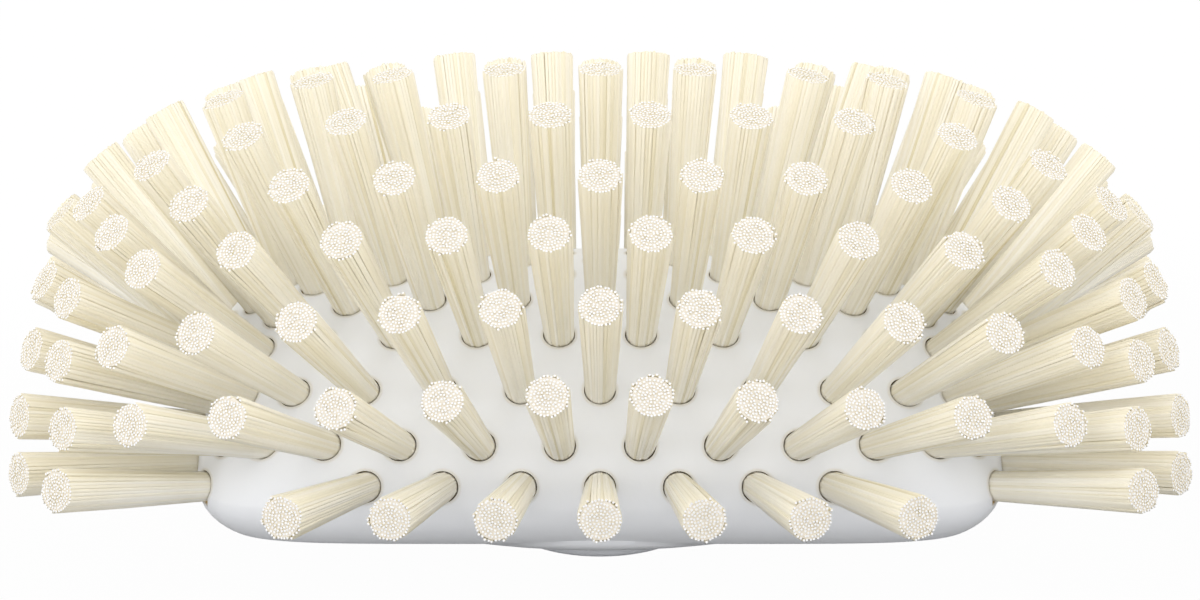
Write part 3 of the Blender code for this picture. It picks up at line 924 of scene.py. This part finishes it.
# %% A tree of nodes


class Graph:
    """A tree of nodes, of a material or of the world."""

    def __init__(self, tree):
        self.tree = tree

    def node(self, kind, settings, inputs, output=0):
        """Add a node: its settings first, then values or links for its sockets."""
        node = self.tree.nodes.new(kind)
        for name, value in settings.items():
            setattr(node, name, value)
        for key, value in inputs.items():
            self.feed(node.inputs[key], value)
        return Value(self, node.outputs[output])

    def feed(self, socket, value):
        """Link a worked-out value to a socket, or set a plain one."""
        if isinstance(value, Value):
            self.tree.links.new(value.socket, socket)
        else:
            socket.default_value = value

    def seen_directly(self):
        """1 for rays from the camera and 0 for all others."""
        return self.node("ShaderNodeLightPath", {}, {}, "Is Camera Ray")

    def choose(self, factor, first, second):
        """A blend of two shaders."""
        return self.node("ShaderNodeMixShader", {}, {0: factor, 1: first, 2: second})


# %% [markdown]
# A finish is such a tree for one material. Its few helpers are named for what a maker would ask
# for: a mix of two colours, a soft step, a noise of so many bumps to a metre.

# %% A finish


class Finish(Graph):
    """The tree of a new material with one Principled shader."""

    def __init__(self, name, **constants):
        self.material = bpy.data.materials.new(name)
        self.material.use_nodes = True
        super().__init__(self.material.node_tree)
        self.shader = self.tree.nodes["Principled BSDF"]
        for socket, value in constants.items():
            self.shader.inputs[socket.replace("_", " ")].default_value = value

    def attribute(self, name):
        """A number that the points of the mesh carry."""
        return self.node("ShaderNodeAttribute", {"attribute_name": name}, {}, "Fac")

    def place(self):
        """The object's own coordinates, in metres."""
        return self.node("ShaderNodeTexCoord", {}, {}, "Object")

    def noise(self, scale, detail):
        """Soft noise from 0 to 1, with so many bumps to a metre."""
        return self.node("ShaderNodeTexNoise", {}, {"Vector": self.place(), "Scale": scale,
                                                    "Detail": detail}, "Fac")

    def mix(self, factor, first, second):
        """A blend of two colours."""
        return self.node("ShaderNodeMix", {"data_type": "RGBA"},
                         {0: factor, 6: first, 7: second}, 2)

    def ramp(self, value, low, high):
        """0 below low, 1 above high and a soft step between."""
        return self.node("ShaderNodeMapRange", {"interpolation_type": "SMOOTHSTEP"},
                         {"Value": value, "From Min": low, "From Max": high})

    def bump(self, height, distance):
        """A normal that tilts as a surface with this height would."""
        return self.node("ShaderNodeBump", {},
                         {"Height": height, "Distance": distance, "Strength": 1.0})


def colour(code):
    """A colour written as in paint software, turned into the shader's linear values."""
    parts = [int(code[k:k + 2], 16) / 255 for k in (1, 3, 5)]
    return tuple(((part + 0.055) / 1.055) ** 2.4 for part in parts) + (1.0,)


print("middle grey, #808080, is", round(colour("#808080")[0], 3), "in linear values")

# %% [markdown]
# ## White plastic
#
# The block is moulded in a white, slightly matt plastic. It has a faint cloudiness and a very
# fine grain that breaks up its gloss. Noise on the object's own coordinates gives both, at
# their real size. Its colour also carries painted shade: a dark olive on the walls of the
# holes, which is painted shade with some grime, and a soft painted shadow round each hole. No
# image is needed for these, as they follow the two numbers that the drilling left on the skin,
# and the shadow fades out 0.7 mm from an edge.

# %% The plastic
CLOUDS_PER_METRE = 60
GRAINS_PER_METRE = 2600
BUMP_HEIGHT = 0.02 * MM
# How far from a hole's edge its painted shadow reaches, in millimetres.
HOLE_SHADOW_WIDTH = 0.7


def white_plastic():
    """Matt white plastic with faint clouds and a fine grain.

    Painted shade with some grime darkens the walls of the holes, and a painted shadow rings
    each hole.
    """
    finish = Finish("white_plastic", IOR=1.49)
    cloud = finish.noise(CLOUDS_PER_METRE, 3)
    grain = finish.noise(GRAINS_PER_METRE, 2)
    # A soft painted shadow round each hole, darkest at its edge.
    near = 1 - finish.ramp(finish.attribute("from_edge"), 0.0, HOLE_SHADOW_WIDTH)
    plain = finish.mix(cloud, colour("#eaecf1"), colour("#edeff3"))
    rim_shaded = finish.mix(near * 0.35, plain, colour("#c2b48c"))
    sunk = finish.ramp(finish.attribute("sunk"), 0.02, 0.25)
    # The walls inside the holes get a dark olive: painted shade with some grime.
    finish.feed(finish.shader.inputs["Base Color"], finish.mix(sunk, rim_shaded, colour("#b8984f")))
    finish.feed(finish.shader.inputs["Roughness"], 0.40 + 0.10 * grain)
    finish.feed(finish.shader.inputs["Normal"], finish.bump(grain * 0.6 + cloud * 2, BUMP_HEIGHT))
    return finish.material


block = add_piece("moulded_block", skin, "white_plastic", [white_plastic()], "brush_block")
print(block.name, "replaces brush_block")

# %% [markdown]
# ## Bristle
#
# The bristle is an ivory nylon that lets some light in, so a real tuft is warm and yellowish in
# its depths and pale outside. No two bristles have quite the same tone. Subsurface light would
# be the usual way to such depths, but in tubes as thin as these it turns grey, so the colours
# follow the numbers that each point carries and paint the shade in: darker and yellower along
# the partings, deep in the bundle and near the root. More painted shade darkens each bristle
# over its upper part towards its tip.

# %% The bristle


def ivory_bristle():
    """Ivory nylon of random tone, with painted shade along the partings, deep in the bundle,
    near the root and towards the tips.
    """
    finish = Finish("ivory_bristle", IOR=1.5)
    tone = finish.attribute("tone")
    pale = finish.mix(finish.ramp(tone, 0.0, 0.8), colour("#fbf6e6"), colour("#fefbf2"))
    lined = finish.mix(finish.ramp(tone, 0.84, 0.92) * 0.4, pale, colour("#e8deb8"))
    # Painted shade: darker and yellower along the partings.
    parting_shaded = finish.mix(finish.attribute("parting") * 0.75, lined, colour("#d3c692"))
    # Painted shade deep in the bundle.
    depth_shaded = finish.mix(finish.ramp(finish.attribute("depth"), 0.1, 0.5) * 0.25, parting_shaded,
                        colour("#dfd3a8"))
    along = finish.attribute("along")
    # Painted shade near the root.
    root_shade = 1 - finish.ramp(along, 0.0, 0.5)
    root_shaded = finish.mix(root_shade * 0.05, depth_shaded, colour("#dccfa4"))
    # Painted shade: the upper part of each bristle darkens towards its tip.
    finish.feed(finish.shader.inputs["Base Color"],
                finish.mix(finish.ramp(along, 0.4, 1.0) * 0.45, root_shaded, colour("#e0d6ba")))
    finish.feed(finish.shader.inputs["Roughness"], 0.40 + 0.14 * tone)
    return finish.material


bristle_materials = [ivory_bristle()]
print("nodes in the bristle's material:", len(bristle_materials[0].node_tree.nodes))

# %% [markdown]
# The fresh cuts scatter the light, so they look white rather than ivory and are more matt, and
# they get a material of their own. The top of the pale core shows between them, in a darker
# cream that is painted shade between the cut ends.

# %% The cut ends


def cut_ends():
    """Whitish cut ends, and a darker cream for the core's top, whose tone is 0.

    The darker cream is painted shade between the cut ends.
    """
    finish = Finish("cut_bristle_ends", IOR=1.5)
    tone = finish.attribute("tone")
    fresh = finish.mix(tone, colour("#dbdbdd"), colour("#e6e6e7"))
    # The core's top, whose tone is 0, gets the darker cream: painted shade between the cut ends.
    finish.feed(finish.shader.inputs["Base Color"],
                finish.mix(finish.ramp(tone, 0.0, 0.05), colour("#d5cec2"), fresh))
    finish.feed(finish.shader.inputs["Roughness"], 0.55 + 0.2 * tone)
    return finish.material


bristle_materials.append(cut_ends())
for node, mesh in bristle_meshes.items():
    add_piece("bristles_" + node, mesh, "ivory_bristle", bristle_materials, node)
print("pieces:", len(bristle_meshes) + 1)

# %% [markdown]
# ## The camera
#
# The photograph is taken from the front with a long lens, looking down by 21 degrees. It takes
# in 209 mm at the middle of the block. A lens of 180 mm on a film of 36 mm does that from
# 1.047 m away, and Blender's camera takes just these numbers.

# %% The camera
CAMERA_TILT = math.radians(21)
CAMERA_DISTANCE = 1.047
CAMERA_LENS = 180
CAMERA_FILM = 36
AIM_RISE = 0.0212


def add_camera():
    """A long lens that looks down at the block's middle, raised a little in its own frame."""
    camera = bpy.data.objects.new("camera", bpy.data.cameras.new("camera"))
    bpy.context.scene.collection.objects.link(camera)
    camera.data.sensor_width = CAMERA_FILM
    camera.data.lens = CAMERA_LENS
    sine, cosine = math.sin(CAMERA_TILT), math.cos(CAMERA_TILT)
    camera.location = (0, AIM_RISE * sine - CAMERA_DISTANCE * cosine,
                       WIDEST_Z + AIM_RISE * cosine + CAMERA_DISTANCE * sine)
    camera.rotation_euler = (math.pi / 2 - CAMERA_TILT, 0, 0)
    bpy.context.scene.camera = camera


add_camera()
print("camera at", [round(value, 3) for value in bpy.context.scene.camera.location], "m")

# %% [markdown]
# ## The light
#
# In a white studio most of the light comes evenly from all round, which the world gives. One
# soft lamp in front, high on the left, is enough to make that side a little brighter.

# %% The lamp
LAMP_PLACE = (-0.9, -1.3, 0.8)
LAMP_SIZE = 1.0
LAMP_WATTS = 2.5


def add_lamp(name, place, size, watts):
    """A square soft lamp that faces the block."""
    lamp = bpy.data.objects.new(name, bpy.data.lights.new(name, "AREA"))
    bpy.context.scene.collection.objects.link(lamp)
    lamp.data.size = size
    lamp.data.energy = watts
    lamp.location = place
    aim = np.array((0, 0, WIDEST_Z)) - np.array(place)
    flat = math.hypot(aim[0], aim[1])
    lamp.rotation_euler = (math.atan2(flat, -aim[2]), 0,
                           math.atan2(aim[1], aim[0]) - math.pi / 2)


add_lamp("key_lamp", LAMP_PLACE, LAMP_SIZE, LAMP_WATTS)
print("one lamp of", LAMP_WATTS, "W")

# %% [markdown]
# ## The white room
#
# A photographer gets a pure white background by lighting it more than the object. Here a Light
# Path node tells the camera's rays from the others, which needs no more lamps. The floor and
# the world are white to the camera. Other rays see a grey card under the block, so that its
# lower flank keeps its shade, and a pale floor farther out, which lights the undersides of the
# tufts.

# %% The white room
FLOOR_HALF = 3.0
FLOOR_WHITENESS = 0.98
FLOOR_PALE = (0.80, 0.80, 0.80, 1)
CARD_GREY = (0.33, 0.33, 0.33, 1)
CARD_SHIFT = 0.02
CARD_RADIUS = 0.10
SOFT_LIGHT = 1.42


def add_floor():
    """The stage's floor: white to the camera, a grey card and a pale floor to other rays."""
    corners = np.array(((-1, -1, 0), (1, -1, 0), (1, 1, 0), (-1, 1, 0))) * FLOOR_HALF
    floor = bpy.data.objects.new("floor", fill_mesh("floor", corners, np.array(((0, 1, 2, 3),))))
    bpy.context.scene.collection.objects.link(floor)
    finish = Finish("studio_floor", Roughness=0.9)
    away = finish.node("ShaderNodeVectorMath", {"operation": "DISTANCE"},
                       {0: finish.place(), 1: (CARD_SHIFT, 0, 0)}, "Value")
    finish.feed(finish.shader.inputs["Base Color"],
                finish.mix(finish.ramp(away, CARD_RADIUS, 2 * CARD_RADIUS), CARD_GREY, FLOOR_PALE))
    white = finish.node("ShaderNodeEmission", {}, {})
    shaded = Value(finish, finish.shader.outputs[0])
    finish.feed(finish.tree.nodes["Material Output"].inputs["Surface"],
                finish.choose(finish.seen_directly() * FLOOR_WHITENESS, shaded, white))
    floor.data.materials.append(finish.material)


def light_world():
    """The room: plain white to the camera, and the even light to all other rays."""
    world = bpy.data.worlds.new("white_studio")
    world.use_nodes = True
    bpy.context.scene.world = world
    graph = Graph(world.node_tree)
    soft = graph.node("ShaderNodeBackground", {}, {"Color": (1, 1, 1, 1), "Strength": SOFT_LIGHT})
    white = graph.node("ShaderNodeBackground", {}, {"Color": (1, 1, 1, 1), "Strength": 1.0})
    graph.feed(graph.tree.nodes["World Output"].inputs["Surface"],
               graph.choose(graph.seen_directly(), soft, white))


add_floor()
light_world()
bpy.context.scene.view_settings.view_transform = "Standard"
print("the world's light has strength", SOFT_LIGHT)
